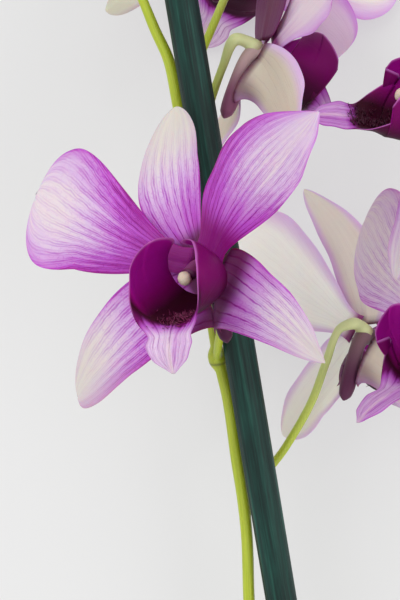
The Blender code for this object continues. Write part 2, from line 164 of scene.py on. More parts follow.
def open_forms(lean=0.0, **special):
    """The five blades of an open flower. special names those that have grown another way."""
    sepal = dict(length=36, width=16.1, lean=4 + lean, curl=-12, cup=0.4, base=0.5, swell=0.5,
                 taper=0.65)
    petal = dict(length=38, width=26, lean=8 + lean, curl=-14, cup=-0.1, base=0.28, depth=0.9,
                 swell=1.1, taper=0.36)
    forms = {
        "dorsal_sepal": dict(sepal, angle=90, width=14, cup=0.1, base=0.36),
        "lateral_sepal_left": dict(sepal, angle=219, sway=0.04, inner=0.65, foot=1),
        "lateral_sepal_right": dict(sepal, angle=321, sway=-0.04, outer=0.65, foot=-1),
        "petal_left": dict(petal, angle=146, sway=-0.06),
        "petal_right": dict(petal, angle=34, sway=0.06),
    }
    return {part: blade(**{**form, **special.get(part, {})}) for part, form in forms.items()}


FRONT_FORMS = {
    "dorsal_sepal": blade(119, 32, 14.5, base=0.32, lean=3, curl=-16, cup=-0.4, swell=0.9,
                          taper=0.62, sway=-0.38, twist=42, inner=1.2, outer=0.85),
    "lateral_sepal_left": blade(212, 42, 20, base=0.4, lean=0, curl=-8, cup=0.4, swell=0.44,
                                taper=0.4, sway=0.06, twist=26, inner=0.65, foot=1, wrap=0.9),
    "lateral_sepal_right": blade(325, 34, 16, base=0.5, lean=4, curl=8, cup=0.3, swell=0.25,
                                 taper=0.8, sway=-0.06, outer=0.8, foot=-1, wrap=1),
    "petal_left": blade(164, 41, 31, base=0.26, depth=0.9, lean=13, curl=-20, cup=-0.3, swell=1.2,
                        taper=0.32, sway=-0.2, twist=18, inner=0.65),
    "petal_right": blade(54, 46, 17, base=0.35, depth=0.9, lean=19, curl=8, cup=-0.2, swell=1.12,
                         taper=0.87, sway=-0.32, twist=-26, inner=1.4, outer=1.22),
}
print("front blades:", ", ".join(FRONT_FORMS))

# %% [markdown]
# The lip is one sheet too. A keel runs out from behind the column, and at each place along it the
# sheet rolls up to both sides by a tabled length and radius: far up round the column first, then
# hardly at all where the pointed middle lobe lies open.

# %% Draw the lip

KEEL_HEIGHT = ((0.0, -5.8), (0.15, -8.1), (0.3, -9.6), (0.45, -10.9), (0.6, -12.8), (0.8, -17.2),
               (1.0, -22.3))
KEEL_FORWARD = ((0.0, -2.3), (0.15, 2.9), (0.3, 7.2), (0.45, 11.6), (0.6, 14.8), (0.8, 16.6),
                (1.0, 15.2))
LOBE_REACH = ((0.0, 0.4), (0.05, 6.0), (0.1, 18.5), (0.16, 22.8), (0.24, 23.6), (0.32, 22.8),
              (0.4, 20.6), (0.48, 16.0), (0.54, 12.4), (0.6, 8.4), (0.68, 5.4), (0.77, 5.6),
              (0.88, 4.2), (0.95, 2.0), (1.0, 0.4))
LOBE_ROLL = ((0.0, 5.5), (0.085, 6.8), (0.3, 8.7), (0.42, 9.0), (0.54, 8.4), (0.62, 11.0),
             (0.8, 30.0), (1.0, 20.0))
LEAST_REACH = 0.35
LIP_FORM = dict(reach=0.7, thrust=8.0, lift=0.0, aside=0.0)
NUDGE = 0.01


def smooth(table, at, column=1):
    """Reads rows of (place, value, ...) with a smooth cubic that passes through each of them."""
    places = [row[0] for row in table]
    values = [row[column] for row in table]
    at = min(max(at, places[0]), places[-1])
    i = max(k for k in range(len(places) - 1) if places[k] <= at)
    slopes = []
    for k in (i, i + 1):
        low, high = max(k - 1, 0), min(k + 1, len(places) - 1)
        slopes.append((values[high] - values[low]) / (places[high] - places[low]))
    span = places[i + 1] - places[i]
    x = (at - places[i]) / span
    return ((2 * x**3 - 3 * x**2 + 1) * values[i] + (x**3 - 2 * x**2 + x) * span * slopes[0]
            + (3 * x**2 - 2 * x**3) * values[i + 1] + (x**3 - x**2) * span * slopes[1])


def keel(form, along):
    """A point of the lip's keel."""
    root = KEEL_FORWARD[0][1]
    beyond = max(0.0, 2 * along - 1)
    return Vector((
        form["aside"] * along,
        smooth(KEEL_HEIGHT, along) + form["lift"] * beyond,
        root + (smooth(KEEL_FORWARD, along) - root) * form["reach"] + form["thrust"] * beyond,
    ))


def lobe_reach(along):
    """How far the lip's sheet runs to either side of its keel."""
    return max(smooth(LOBE_REACH, along), LEAST_REACH)


def lip_point(form, across, along):
    """A point of the lip's middle surface in its flower's frame."""
    tangent = keel(form, along + NUDGE) - keel(form, along - NUDGE)
    upward = Vector((0.0, tangent.z, -tangent.y)).normalized()
    roll = smooth(LOBE_ROLL, along) * (1 - 0.05 * across)
    turn = lobe_reach(along) * across / roll
    return keel(form, along) + Vector((roll * sin(turn), 0.0, 0.0)) + upward * roll * (1 - cos(turn))


print("lip's tip in mm:", [round(x, 1) for x in lip_point(LIP_FORM, 0.0, 1.0)])

# %% [markdown]
# ## From a formula to a thin body
# A petal is a body, not a sheet: it has two faces that meet in a rounded margin. The grid is laid
# out with its lines crowded towards the margins, each point is moved out to both faces, and the
# outermost points are shared, which closes the mesh. Every point keeps named values, such as
# across and along, which the finishes read later.

# %% Make thin bodies

SHEET_THICKNESS, ROUNDED_END = 0.5, 0.02


def rise(value, low, high):
    """0 below low, 1 above high, and a smooth step between."""
    x = min(max((value - low) / (high - low), 0.0), 1.0)
    return x * x * (3 - 2 * x)


def show(name, data):
    """A new object in the scene."""
    made = bpy.data.objects.new(name, data)
    bpy.context.scene.collection.objects.link(made)
    return made


def mesh_of(name, verts, faces):
    mesh = bpy.data.meshes.new(name)
    mesh.from_pydata([tuple(v) for v in verts], [], faces)
    return mesh


def link(name, verts, faces, values, material, place=None, replaced=None):
    """A piece on the root body, with its values kept at its points. Its points are in metres, or
    in mm where place says which frame they are in."""
    if place is not None:
        verts = [place @ (v * MM) for v in verts]
    mesh = mesh_of(name, verts, faces)
    mesh.shade_smooth()
    for key, numbers in values.items():
        mesh.attributes.new(key, "FLOAT", "POINT").data.foreach_set("value", numbers)
    mesh.materials.append(material)
    made = show(name, mesh)
    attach(made, "root")
    if replaced:
        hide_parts(replaced)


def dress(node, verts, faces, values, material, place=None):
    """A finer piece in the place of a CAD node."""
    link(f"{node}_fine", verts, faces, values, material, place, node)


def thin_body(node, point, place, rows, columns, relief, tint, material, slot, crowd_tip=True):
    """A closed thin body round the middle surface that point draws. relief moves it out in mm,
    and tint gives the named values of a point on its front."""
    acrosses = [sin(pi / 2 * (2 * j / columns - 1)) for j in range(columns + 1)]
    alongs = [i / rows for i in range(rows + 1)]
    if crowd_tip:
        alongs = [sin(pi / 2 * t) for t in alongs]
    grid = [[point(s, t) for s in acrosses] for t in alongs]
    verts, faces, values = [], [], {}
    front, back = {}, {}
    for i, t in enumerate(alongs):
        for j, s in enumerate(acrosses):
            down, up = max(i - 1, 0), min(i + 1, rows)
            left, right = max(j - 1, 0), min(j + 1, columns)
            normal = (grid[up][j] - grid[down][j]).cross(grid[i][right] - grid[i][left]).normalized()
            thin = sqrt(max(0.0, 1 - abs(s) ** 6)) * sqrt(min(1.0, t / ROUNDED_END, (1 - t) / ROUNDED_END))
            half = SHEET_THICKNESS / 2 * thin
            middle = grid[i][j] + normal * relief(s, t)
            edge = i in (0, rows) or j in (0, columns)
            for side, keep in ((1, front), (-1, back)):
                if edge and side < 0:
                    keep[i, j] = front[i, j]
                    continue
                keep[i, j] = len(verts)
                verts.append(middle + normal * half * side)
                spot = dict(across=s, along=t, back=0.5 if edge else (1 - side) / 2, **tint(s, t))
                for key, number in spot.items():
                    values.setdefault(key, []).append(number)
    for i in range(rows):
        for j in range(columns):
            faces.append((front[i, j], front[i, j + 1], front[i + 1, j + 1], front[i + 1, j])[::-1])
            faces.append((back[i, j], back[i, j + 1], back[i + 1, j + 1], back[i + 1, j]))
    dress(node, verts, faces, values, material, place)


# %% [markdown]
# Stalks, the column and the stake are rods along a smooth line. Each ring of points stands square
# to the line, and its radius may change with the place along it and with the turn round it.

# %% Make rods


def along_line(points, closer=8):
    """Points on the smooth line through the given ones, closer times as many, each with its
    distance along it."""
    places = [0.0]
    for a, b in zip(points, points[1:]):
        places.append(places[-1] + (Vector(b) - Vector(a)).length)
    rows = [(place, *point) for place, point in zip(places, points)]
    line = []
    for i in range((len(points) - 1) * closer + 1):
        whole, part = divmod(i, closer)
        at = places[whole] + ((places[whole + 1] - places[whole]) * part / closer if part else 0.0)
        line.append((at, *[smooth(rows, at, column) for column in range(1, len(rows[0]))]))
    return line


def belts(count, sides, inward=False):
    """The faces between rings of points that lie one after another."""
    faces = []
    for k in range(count - 1):
        for n in range(sides):
            a, b = k * sides + n, k * sides + (n + 1) % sides
            faces.append((a, a + sides, b + sides, b) if inward else (a, b, b + sides, a + sides))
    return faces


def lid(verts, faces, ring, sides, spot, flip):
    """Closes a ring with a fan of faces round one more point."""
    verts.append(spot)
    for n in range(sides):
        a, b = ring * sides + n, ring * sides + (n + 1) % sides
        faces.append((b, a, len(verts) - 1) if flip else (a, b, len(verts) - 1))


def rings(line, sides, radius):
    """The points and faces of a closed rod in mm. radius is asked for each place and turn."""
    verts, marks = [], []
    spots = [Vector(row[1:4]) for row in line]
    across = Vector((0.0, 1.0, 0.0))
    for k, row in enumerate(line):
        ahead = (spots[min(k + 1, len(spots) - 1)] - spots[max(k - 1, 0)]).normalized()
        across = (across - ahead * across.dot(ahead)).normalized()
        beside = ahead.cross(across)
        for n in range(sides):
            turn = 2 * pi * n / sides
            verts.append(spots[k] + (across * cos(turn) + beside * sin(turn)) * radius(row, turn))
            marks.append((row[0], turn))
    faces = belts(len(line), sides)
    for ring, flip in ((0, True), (len(line) - 1, False)):
        lid(verts, faces, ring, sides, spots[ring], flip)
        marks.append((line[ring][0], 0.0))
    return verts, faces, marks


# %% [markdown]
# ## Node helpers
# A wire is a node's output, and wires are reckoned with as numbers are: each sign puts down a Math
# node. A node is put down with its inputs, and hands its output on as a wire.

# %% Write node helpers


class Wire:
    """A node's output, to reckon with."""

    def __init__(self, socket):
        self.socket, self.tree = socket, socket.id_data

    def maths(self, operation, other=0.0):
        return put(self.tree, "Math", {0: self, 1: other}, operation=operation)

    def __add__(self, other):
        return self.maths("ADD", other)

    def __sub__(self, other):
        return self.maths("SUBTRACT", other)

    def __rsub__(self, other):
        return put(self.tree, "Math", {0: other, 1: self}, operation="SUBTRACT")

    def __mul__(self, other):
        return self.maths("MULTIPLY", other)

    def __truediv__(self, other):
        return self.maths("DIVIDE", other)

    def beside(self, output):
        """Another output of the same node."""
        return Wire(self.socket.node.outputs[output])


def feed(node, inputs):
    """Gives a node's inputs their values, or the wires that feed them."""
    for key, value in inputs.items():
        if isinstance(value, Wire):
            node.id_data.links.new(value.socket, node.inputs[key])
        else:
            node.inputs[key].default_value = value


def put(tree, kind, inputs=None, output=0, **settings):
    made = tree.nodes.new("ShaderNode" + kind)
    for key, value in settings.items():
        setattr(made, key, value)
    feed(made, inputs or {})
    return Wire(made.outputs[output])


def mixed(share, first, second, mode="MIX"):
    """Two colours mixed by a share."""
    return put(share.tree, "Mix", {0: share, 6: first, 7: second}, 2, data_type="RGBA", blend_type=mode)


def step(value, low, high, start=0.0, end=1.0):
    """A smooth step from start to end as the value goes from low to high."""
    sockets = {"Value": value, "From Min": low, "From Max": high, "To Min": start, "To Max": end}
    return put(value.tree, "MapRange", sockets, "Result", interpolation_type="SMOOTHSTEP")


def spread(x, y, z):
    return put(x.tree, "CombineXYZ", {0: x, 1: y, 2: z})


def kept(tree, name):
    """A value that the mesh keeps at its points."""
    return put(tree, "Attribute", output="Fac", attribute_name=name)


def clouds(tree, scale, detail, **more):
    """A soft noise from 0 to 1, over the piece or over the places of a Vector."""
    return put(tree, "TexNoise", {"Scale": scale, "Detail": detail, **more})


def ramp(value, *stops):
    """A colour that changes with a value, through stops of (place, colour)."""
    made = put(value.tree, "ValToRGB", {"Fac": value}, "Color")
    elements = made.socket.node.color_ramp.elements
    while len(elements) < len(stops):
        elements.new(0.5)
    for element, (place, colour) in zip(elements, stops):
        element.position = place
        element.color = colour
    return made


def group(name, inputs, *outputs):
    """A new node group with named sockets, its inputs as wires, and its output node."""
    tree = bpy.data.node_groups.new(name, "ShaderNodeTree")
    for label, value in inputs.items():
        made = tree.interface.new_socket(name=label, in_out="INPUT", socket_type="NodeSocketFloat")
        made.default_value = value
    for label in outputs:
        tree.interface.new_socket(name=label, in_out="OUTPUT", socket_type="NodeSocketFloat")
    source = tree.nodes.new("NodeGroupInput")
    return tree, [Wire(source.outputs[label]) for label in inputs], tree.nodes.new("NodeGroupOutput")


def finish(name, roughness, **sockets):
    """A material with its Principled shader, whose uniform values are set on its own sockets."""
    made = bpy.data.materials.new(name)
    made.use_nodes = True
    shader = made.node_tree.nodes["Principled BSDF"]
    feed(shader, {"Roughness": roughness, **{key.replace("_", " "): sockets[key] for key in sockets}})
    return made, made.node_tree, shader


def wear(shader, colour, height=None, strength=0.5, distance=0.00015):
    """Gives a shader its colour, and a bump where there is a height."""
    feed(shader, {"Base Color": colour})
    if height is not None:
        inputs = {"Height": height, "Strength": strength, "Distance": distance}
        feed(shader, {"Normal": put(height.tree, "Bump", inputs)})


# %% [markdown]
# ## Veins
# Dendrobium petals are drawn all over with fine veins. They leave the root together, fan out and
# fork, and run out to the margin before the tip. Lines of equal across do the fanning. Pulling
# across in towards the tip bends them outward, a little noise keeps them from looking ruled, and
# a second, finer set that fades in further out makes them fork. Slanting bridges join them, and
# another noise lets each line fade and come back. The group also puts out broad soft streaks that
# run the same way.

# %% Build the vein group


def vein_group():
    tree, (across, along, count, fan, wobble, seed), out = group(
        "Fanning veins",
        {"Across": 0.0, "Along": 0.0, "Count": 6.0, "Spread": 0.4, "Wobble": 0.3, "Seed": 0.0},
        "Mask", "Streak")

    def lines(count, phase, thin):
        """Fine lines of equal across, pulled outward and shaken a little."""
        drawn = across * (1.0 - along.maths("POWER", 2.0) * fan)
        shake = clouds(tree, 2.2, 3.0, Vector=spread(across * 2.6, along * 5.0, seed))
        place = drawn * count + phase + (shake - 0.5) * wobble * 2.0
        return step(place.maths("PINGPONG", 0.5), 0.0, thin, 1.0, 0.0)

    def broken(drawn, place, least):
        """The lines with their strength coming and going, and never under least."""
        cloud = clouds(tree, 2.0, 2.0, Vector=spread(across * 3.0, along * 5.0, place))
        return drawn * step(cloud, 0.35, 0.65, least, 1.0)

    main = broken(lines(count, 0.0, 0.15), 3.0, 0.5)
    fine = broken(lines(count * 2.0, 0.5, 0.24), 7.0, 0.3) * step(along, 0.2, 0.5, 0.0, 0.75)
    shake = clouds(tree, 2.0, 2.0, Vector=spread(across * 4.0, along * 7.0, 11.0))
    slanted = across.maths("ABSOLUTE") * 5.0 + along * -9.0 + shake * 5.0
    bridges = step(slanted.maths("PINGPONG", 0.5), 0.0, 0.16, 0.35, 0.0) * step(along, 0.15, 0.4)
    mask = main.maths("MAXIMUM", fine.maths("MAXIMUM", bridges)) * step(along, 0.5, 1.0, 1.0, 0.4)
    streak = clouds(tree, 0.9, 4.0, Vector=spread(across * count, along * 1.4, seed))
    feed(out, {"Mask": mask, "Streak": streak})
    return tree


VEINS = vein_group()
print("vein group nodes:", len(VEINS.nodes))

# %% [markdown]
# Petal skin is made of tiny domed cells, which give it a satin sparkle. The cells are far too small
# to model, so a fine noise goes into the bump, together with the veins.

# %% Build the skin group


def skin_group():
    tree, (veins, depth), out = group("Petal skin", {"Veins": 0.0, "Depth": 0.5}, "Height")
    cells = clouds(tree, 2600.0, 2.0, Vector=put(tree, "TexCoord", output="Object"))
    feed(out, {"Height": cells * 0.35 - veins * depth})
    return tree


SKIN = skin_group()
print("skin group nodes:", len(SKIN.nodes))

# %% [markdown]
# ## Sepals and petals
# The colour of a blade runs from white through lilac to strong magenta with one value, rich, that
# each mesh keeps at its points. Veins multiply whatever is under them, so they are lilac on white
# and dark on magenta. The back is paler: white to tan in the middle, lilac at the margins.

# %% Make the blade finishes

BLADE_VEIN, LIP_VEIN = (0.55, 0.28, 0.56, 1.0), (0.5, 0.2, 0.52, 1.0)


def blade_finish(name, veins, strength, root):
    made, tree, shader = finish(name, 0.5, Subsurface_Weight=0.22, Subsurface_Scale=0.0015,
                                Specular_IOR_Level=0.25)
    across, behind = kept(tree, "across"), kept(tree, "back")
    lines = put(tree, "Group", {"Across": across, "Along": kept(tree, "along"), **veins}, "Mask",
                node_tree=VEINS)
    patchy = kept(tree, "rich") + (lines.beside("Streak") - 0.5) * 0.75
    front = ramp(patchy + lines * strength, (0.0, WHITE_PETAL), (0.26, LILAC), (0.48, PINK_LILAC),
                 (0.76, MAGENTA), (1.0, STRONG_MAGENTA))
    margin = step(across.maths("ABSOLUTE"), 0.55, 1.0)
    back = mixed(kept(tree, "tan"), paint(252, 249, 243), paint(182, 166, 142))
    back = mixed(margin * 0.85, back, paint(214, 176, 228))
    back = mixed(kept(tree, "flush"), back, PINK_LILAC)
    back = mixed(step(patchy, 0.3, 1.3, 0.0, 0.85), back, MAGENTA)
    colour = mixed(behind, front, back)
    colour = mixed(lines * step(behind, 0.0, 1.0, 0.5, 0.1), colour, BLADE_VEIN, "MULTIPLY")
    colour = mixed(kept(tree, "greenish") * 0.8, colour, CREAM)
    # The dark root is partly the blade's own colour and partly painted shade round the column.
    colour = mixed(kept(tree, "deep"), colour, root)
    wear(shader, colour, put(tree, "Group", {"Veins": lines, "Depth": 0.5}, node_tree=SKIN))
    return made


FINISHES = {
    "petal": blade_finish("petal", {"Count": 8.0, "Spread": 0.45, "Wobble": 0.32}, 0.34, DEEP_MAGENTA),
    "sepal": blade_finish("sepal", {"Count": 4.0, "Spread": 0.15, "Wobble": 0.25}, 0.38, DEEP_PURPLE),
}
print("blade finishes:", ", ".join(FINISHES))

# %% [markdown]
# ## Lip
# The lip is the darkest part. Its inner face is nearly black in the throat and dark magenta up the
# side lobes, with a thin pale rim. Its darkening down towards the keel is partly the throat's own
# colour and partly painted shade inside the rolled lip, and its outer face is a darker copy of the
# inner one: painted shade. The middle lobe is lilac with dark veins that run out of the throat,
# and its two keels are cream.

# %% Make the lip finish


def lip_finish():
    made, tree, shader = finish("lip", 0.5, Subsurface_Weight=0.1, Subsurface_Scale=0.001,
                                Specular_IOR_Level=0.1)
    veins = put(tree, "Group", {"Across": kept(tree, "across"), "Along": kept(tree, "along") * 0.5,
                                "Count": 4.0, "Spread": -0.2, "Wobble": 0.5, "Seed": 3.0}, "Mask",
                node_tree=VEINS)
    dark = kept(tree, "dark")
    # Darker towards the keel and the throat: partly the throat's own colour, partly painted shade.
    inside = ramp(dark, (0.0, paint(156, 12, 136)), (0.45, paint(120, 0, 92)), (0.9, THROAT))
    # The outer face is a darker copy of the inner face: painted shade.
    outside = ramp(dark, (0.0, paint(112, 2, 88)), (0.5, paint(80, 0, 56)), (1.0, paint(48, 0, 30)))
    colour = mixed(kept(tree, "back"), inside, outside)
    patchy = kept(tree, "flush") + (veins.beside("Streak") - 0.5) * 1.4
    ground = ramp(patchy, (0.0, paint(218, 194, 220)), (0.45, paint(196, 136, 204)),
                  (0.8, paint(170, 74, 178)), (1.0, paint(112, 8, 96)))
    lobe = mixed(veins * 0.9, ground, LIP_VEIN, "MULTIPLY")
    colour = mixed(kept(tree, "light"), colour, lobe)
    colour = mixed(kept(tree, "rim"), colour, paint(196, 110, 192))
    colour = mixed(kept(tree, "cream"), colour, paint(240, 232, 206))
    wear(shader, colour, put(tree, "Group", {"Veins": veins, "Depth": 0.4}, node_tree=SKIN))
    return made


LIP = lip_finish()
print("lip finish:", LIP.name)

# %% [markdown]
# ## Column, cap and hairs
# The column is waxy, magenta above and dark below, and darker towards the cap: the darkening below
# and at the cap is painted shade. The cap on its end is a matt cream ball. The hairs of the throat
# are dark at the root and yellowish at the tip.

# %% Make the small finishes

COLUMN, tree, shader = finish("column", 0.45, Subsurface_Weight=0.1, Subsurface_Scale=0.001,
                              Specular_IOR_Level=0.2)
colour = ramp(kept(tree, "dark"), (0.0, paint(150, 70, 124)), (0.4, paint(128, 52, 100)),
              (0.7, paint(88, 28, 72)), (1.0, paint(66, 8, 50)))
colour = mixed(kept(tree, "tan"), colour, paint(190, 166, 160))
wear(shader, mixed(clouds(tree, 500.0, 3.0) * 0.35, colour, (0.6, 0.4, 0.6, 1.0), "MULTIPLY"))

CAP, tree, shader = finish("anther", 0.5, Subsurface_Weight=0.2, Subsurface_Scale=0.001)
wear(shader, ramp(clouds(tree, 900.0, 3.0), (0.3, paint(196, 172, 152)), (0.7, paint(230, 214, 194))))

HAIR, tree, shader = finish("hair", 0.45)
wear(shader, ramp(kept(tree, "tip"), (0.0, THROAT), (0.6, paint(150, 20, 96)), (1.0, paint(200, 120, 110))))
print("small finishes:", COLUMN.name, CAP.name, HAIR.name)

# %% [markdown]
# ## Stem, buds and stake
# The stem is waxy lime green with faint streaks along it, and a dark crease at each node that is
# painted shade. The stake is dyed a dark blue-green, lighter and darker in long streaks along its
# grain: partly its own uneven tone, partly painted highlight. One group draws both kinds of streak:
# a noise that is stretched along the piece.

# %% Build the streak group


def streak_group():
    tree, (turn, run, fineness, length), out = group(
        "Long streaks", {"Turn": 0.0, "Run": 0.0, "Fineness": 4.0, "Length": 20.0}, "Mask")
    where = spread(turn.maths("COSINE") * fineness, turn.maths("SINE") * fineness, run / length)
    feed(out, {"Mask": clouds(tree, 1.0, 4.0, Vector=where, Roughness=0.6)})
    return tree


STREAKS = streak_group()


def streaked(tree, fineness, length):
    """The streaks of a rod that keeps its turn and run."""
    inputs = {"Turn": kept(tree, "turn"), "Run": kept(tree, "run"), "Fineness": fineness, "Length": length}
    return put(tree, "Group", inputs, node_tree=STREAKS)


print("streak group nodes:", len(STREAKS.nodes))

# %% Make the stem, bud and stake finishes

STEM, tree, shader = finish("stem", 0.38, Subsurface_Weight=0.1, Subsurface_Scale=0.001)
streaks = streaked(tree, 3.0, 14.0)
colour = ramp(streaks, (0.3, paint(156, 172, 28)), (0.7, LIME))
# The crease is a darkened lime in each node's fold: painted shade.
for mark, tone in (("pale", PALE_LIME), ("crease", paint(92, 96, 30)), ("ring", paint(128, 92, 84)),
                   ("cut", paint(214, 216, 164))):
    colour = mixed(kept(tree, mark), colour, tone)
wear(shader, colour, streaks, 0.3, 0.0003)

BUD, tree, shader = finish("bud", 0.45, Subsurface_Weight=0.2, Subsurface_Scale=0.0015)
colour = ramp(kept(tree, "flush"), (0.0, paint(196, 202, 140)), (0.5, paint(226, 216, 196)),
              (1.0, paint(190, 130, 176)))
streaks = step(streaked(tree, 3.5, 16.0), 0.45, 0.7, 0.0, 0.5)
colour = mixed(streaks, colour, (0.72, 0.5, 0.7, 1.0), "MULTIPLY")
wear(shader, mixed(kept(tree, "seam"), colour, paint(150, 120, 110)))

STAKE, tree, shader = finish("stake", 0.5, Specular_IOR_Level=0.25)
streaks = streaked(tree, 4.5, 32.0)
# The broad, lighter streaks are partly the stake's own uneven tone and partly painted highlight.
colour = ramp(streaks * 0.55 + streaked(tree, 0.9, 26.0) * 0.45, (0.34, paint(6, 26, 24)),
              (0.47, paint(12, 40, 36)), (0.55, paint(16, 56, 49)), (0.68, paint(34, 84, 72)))
wear(shader, mixed(kept(tree, "cut"), colour, paint(120, 124, 92)), streaks, 0.6, 0.0004)
print("materials so far:", len(bpy.data.materials))

# %% [markdown]
# ## Where the flowers stand
# Each flower is built in its own frame, with its face looking forward. The frame is turned to the
# way it looks on the stem and moved to its hub.

# %% Place a flower's frame


def facing(yaw, pitch):
    """Straight up from the surface, turned to the left by yaw and to the buds by pitch."""
    yaw, pitch = radians(yaw), radians(pitch)
    return Vector((-sin(yaw) * cos(pitch), sin(pitch), cos(yaw) * cos(pitch)))


def flower_frame(hub, forward, roll):
    right = Vector((0.0, 1.0, 0.0)).cross(forward).normalized()
    top = forward.cross(right)
    turned = Matrix((right, top, forward)).transposed().to_4x4() @ Matrix.Rotation(radians(roll), 4, "Z")
    return Matrix.Translation((Vector(hub) + ORIGIN) * MM) @ turned


# %% [markdown]
# ## How a blade's colour lies
# A pale band starts part of the way out and widens towards the tip. It may lie to one side of the
# middle. The margins and the root stay rich, and close to the column everything is deep purple:
# partly the blades' own dark root, partly painted shade where the flower closes round the column.

# %% Tint the blades

BAND = dict(most=1.0, least=0.0, deep=0.12, chin=0.0, green=0.0, tan=0.3, flush=0.0)


def pale_band(start, full, shift, wide, **more):
    """Where a blade is pale: from start to full along it, round shift across it, and how wide.
    deep is how far the dark root reaches, chin how dark the part beside the chin is, green how
    green the tip, and tan and flush how tan or lilac the back. The dark root and the dark part
    beside the chin are partly the blade's own colour and partly painted shade."""
    return {**BAND, "start": start, "full": full, "shift": shift, "wide": wide, **more}


def blade_tint(band, form):
    """The values of a blade's points: how rich, how deep, and how green its tip is. How deep is
    partly the root's own colour and partly painted shade.
    """
    def tint(across, along):
        off = abs(across - band["shift"]) / (band["wide"] * (0.6 + 0.6 * along))
        pale = rise(along, band["start"], band["full"]) * exp(-off**2.6)
        pale = band["least"] + (band["most"] - band["least"]) * pale
        drawn = max(0.0, across * form["foot"]) * (1 - along) ** 2.2
        deep = max(1 - rise(along, 0.5 * band["deep"], band["deep"]),
                   band["chin"] * rise(drawn, 0.15, 0.55))
        rim = 0.15 * rise(abs(across), 0.92, 0.99)
        return dict(rich=1 - pale + rim, deep=0.9 * deep, greenish=band["green"] * rise(along, 0.5, 0.95),
                    tan=band["tan"], flush=band["flush"])
    return tint


def bands(petal, sepal, **special):
    """The bands of a flower's five blades. special names those that differ."""
    return {part: special.get(part, petal if "petal_" in part else sepal) for part in FRONT_FORMS}


PETAL_BAND = pale_band(0.2, 0.85, 0.0, 0.85, most=0.88, least=0.15)
SEPAL_BAND = pale_band(0.1, 0.8, 0.0, 1.0, most=0.95, least=0.3, chin=0.45, green=0.4)
BANDS = bands(PETAL_BAND, SEPAL_BAND)
LOW_BANDS = bands(pale_band(0.0, 0.5, 0.0, 1.1, least=0.45), SEPAL_BAND)
UPPER_BANDS = bands(pale_band(0.1, 0.6, 0.0, 1.0, most=0.9, least=0.3, flush=0.35),
                    pale_band(0.0, 0.5, 0.0, 1.2, least=0.6, deep=0.05, chin=0.7, tan=0.75),
                    dorsal_sepal=pale_band(0.0, 0.6, 0.2, 0.7, most=0.6, deep=1.0, tan=1.0))
TOP_BANDS = bands(PETAL_BAND, SEPAL_BAND,
                  lateral_sepal_left=pale_band(0.1, 0.8, 0.2, 0.9, most=0.9, deep=0.35, flush=0.5),
                  lateral_sepal_right=pale_band(0.0, 0.6, 0.0, 1.3, least=0.6, green=1.0))
MIDDLE_SEPAL = pale_band(0.0, 0.5, 0.0, 1.2, least=0.65, deep=0.04, chin=0.7, tan=0.7)
MIDDLE_BANDS = bands(pale_band(0.1, 0.5, 0.0, 1.3, least=0.65, deep=0.08, tan=0.0),
                     {**MIDDLE_SEPAL, "green": 0.2, "tan": 0.05},
                     lateral_sepal_left=MIDDLE_SEPAL,
                     dorsal_sepal=pale_band(0.0, 0.5, 0.0, 1.2, least=0.7, deep=0.04, tan=0.4))
# The front flower's dark roots reach further than the others': the extra reach is painted shade.
FRONT_BANDS = {
    "dorsal_sepal": pale_band(0.1, 0.8, 0.1, 1.3, most=0.95, least=0.25, deep=0.24, green=0.8),
    "lateral_sepal_left": pale_band(0.15, 0.75, -0.4, 0.9, least=0.25, chin=1.0, green=0.6),
    "lateral_sepal_right": pale_band(0.15, 0.6, 0.15, 1.0, least=0.35, deep=0.27, chin=0.3, green=0.5),
    "petal_left": pale_band(0.22, 0.85, 0.0, 0.9, least=0.12, deep=0.28),
    # The right petal's pale band is kept a little less pale (most=0.9): painted shade.
    "petal_right": pale_band(0.12, 0.65, -0.25, 1.0, most=0.9, least=0.15, deep=0.26),
}

# %% [markdown]
# No petal is as smooth as its formula. Its middle is creased, its margins wave, and the whole
# blade is a little uneven. All of that is moved in the mesh, in tenths of a millimetre.

# %% Shape the blades' surface

CREASE_DEPTH, CREASE_WIDTH, UNEVEN = 0.3, 0.7, 0.5
WAVES = {"petal": 0.7, "sepal": 0.35}


def blade_relief(form, seed, wave):
    def relief(across, along):
        wide = half_width(form, along)
        crease = -CREASE_DEPTH * exp(-(across * wide / CREASE_WIDTH) ** 2) * (1 - along)
        margin = wave * abs(across) ** 3 * sin(9 * along + 2.2 * copysign(1, across) + seed)
        margin += 0.4 * wave * abs(across) ** 4 * sin(23 * along + seed * 1.7)
        uneven = UNEVEN * noise.noise(Vector((across * 1.4, along * 2.6, seed)))
        return crease + (margin + uneven) * rise(along, 0.1, 0.4) * (1 - 0.6 * rise(along, 0.85, 1.0))
    return relief


# %% [markdown]
# The lip's middle lobe carries two thin keels, and its margin is crisped. The side lobes are smooth.

# %% Shape and tint the lip

RIDGE_HEIGHT, RIDGE_WIDTH, RIDGE_PLACE, CRISP = 0.35, 0.28, 0.5, 0.14


def lip_relief(across, along):
    x = across * lobe_reach(along)
    ridge = RIDGE_HEIGHT * sum(exp(-((x + side * RIDGE_PLACE) / RIDGE_WIDTH) ** 2) for side in (-1, 1))
    ridge *= rise(along, 0.08, 0.2) * (1 - rise(along, 0.9, 0.98))
    crisp = CRISP * abs(across) ** 3 * sin(38 * along + 2 * across) * rise(along, 0.56, 0.66)
    return ridge + crisp * (1 - rise(along, 0.93, 1.0))


